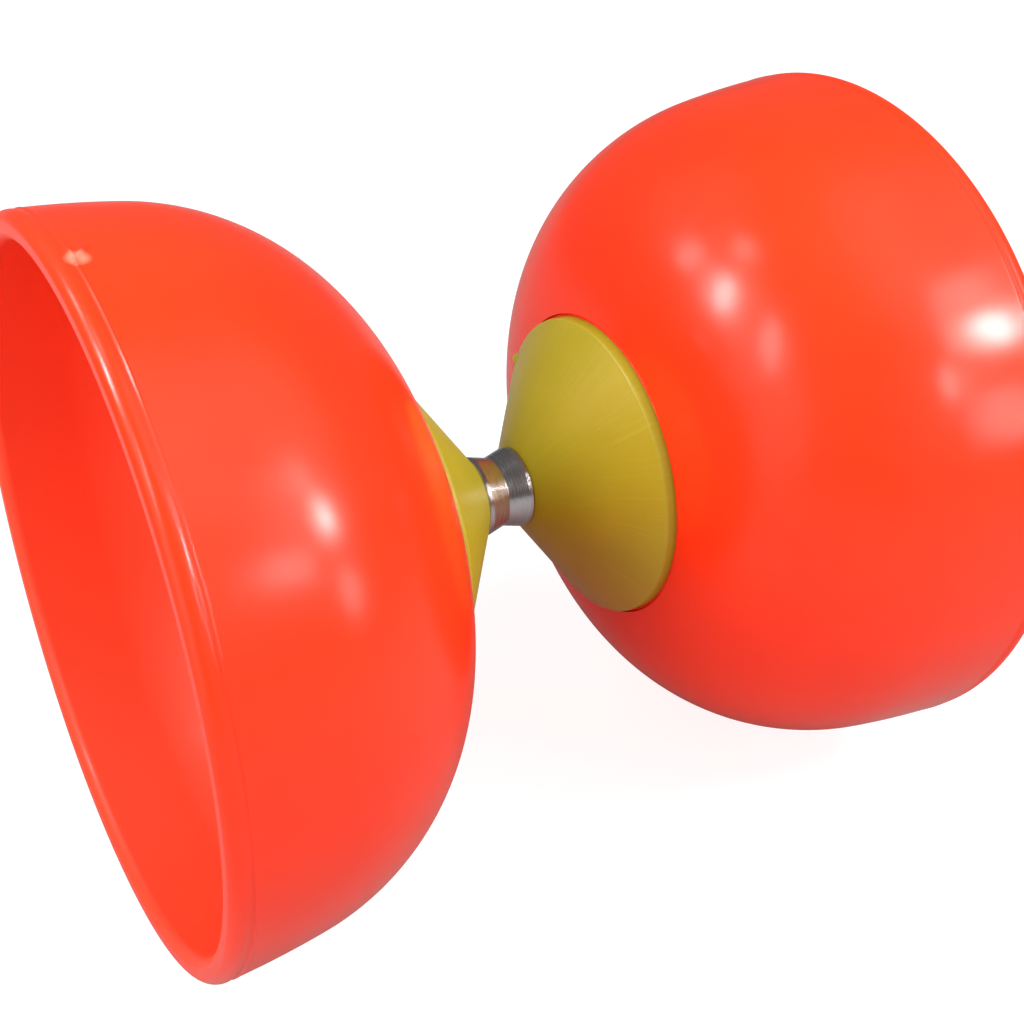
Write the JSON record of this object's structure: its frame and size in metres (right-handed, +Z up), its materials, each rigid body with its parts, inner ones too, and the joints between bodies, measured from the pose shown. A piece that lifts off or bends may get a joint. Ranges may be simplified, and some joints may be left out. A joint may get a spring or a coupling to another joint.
{
  "type": "diabolo",
  "caption": "Juggling diabolo: soft round-bottomed rubber cups clamped back to back on a fixed steel axle, with plastic hub cones and a V-grooved metal waist for the string.",
  "frame": {"origin": "middle of the waist, on the spin axis, halfway between the two rims", "axes": "+Y along the spin axis from the left cup to the right cup, +Z up with the diabolo lying on its side on both rims, +X across"},
  "size_m": [0.125, 0.1472, 0.125],
  "materials": {
    "cup_rubber": "smooth semi-gloss moulded rubber, bright orange-red",
    "hub_plastic": "satin moulded plastic, olive yellow",
    "polished_steel": "turned and polished",
    "zinc_steel": "bright zinc plating",
    "tube_steel": "drawn tube, plain",
    "clamp_plastic": "black glass-filled nylon, fine texture",
    "insert_nylon": "nylon locking ring"
  },
  "bodies": {
    "root": {"axle_rod": "zinc_steel", "waist_spool": "polished_steel", "left_hub_cone": "hub_plastic", "right_hub_cone": "hub_plastic", "left_cup": "cup_rubber", "right_cup": "cup_rubber", "left_clamp_plate": "clamp_plastic", "right_clamp_plate": "clamp_plastic", "left_plate_screws": "zinc_steel", "right_plate_screws": "zinc_steel", "left_spacer": "tube_steel", "right_spacer": "tube_steel", "left_washer": "zinc_steel", "right_washer": "zinc_steel", "left_lock_nut": "zinc_steel", "right_lock_nut": "zinc_steel", "left_nut_insert": "insert_nylon", "right_nut_insert": "insert_nylon"}
  },
  "joints": []
}
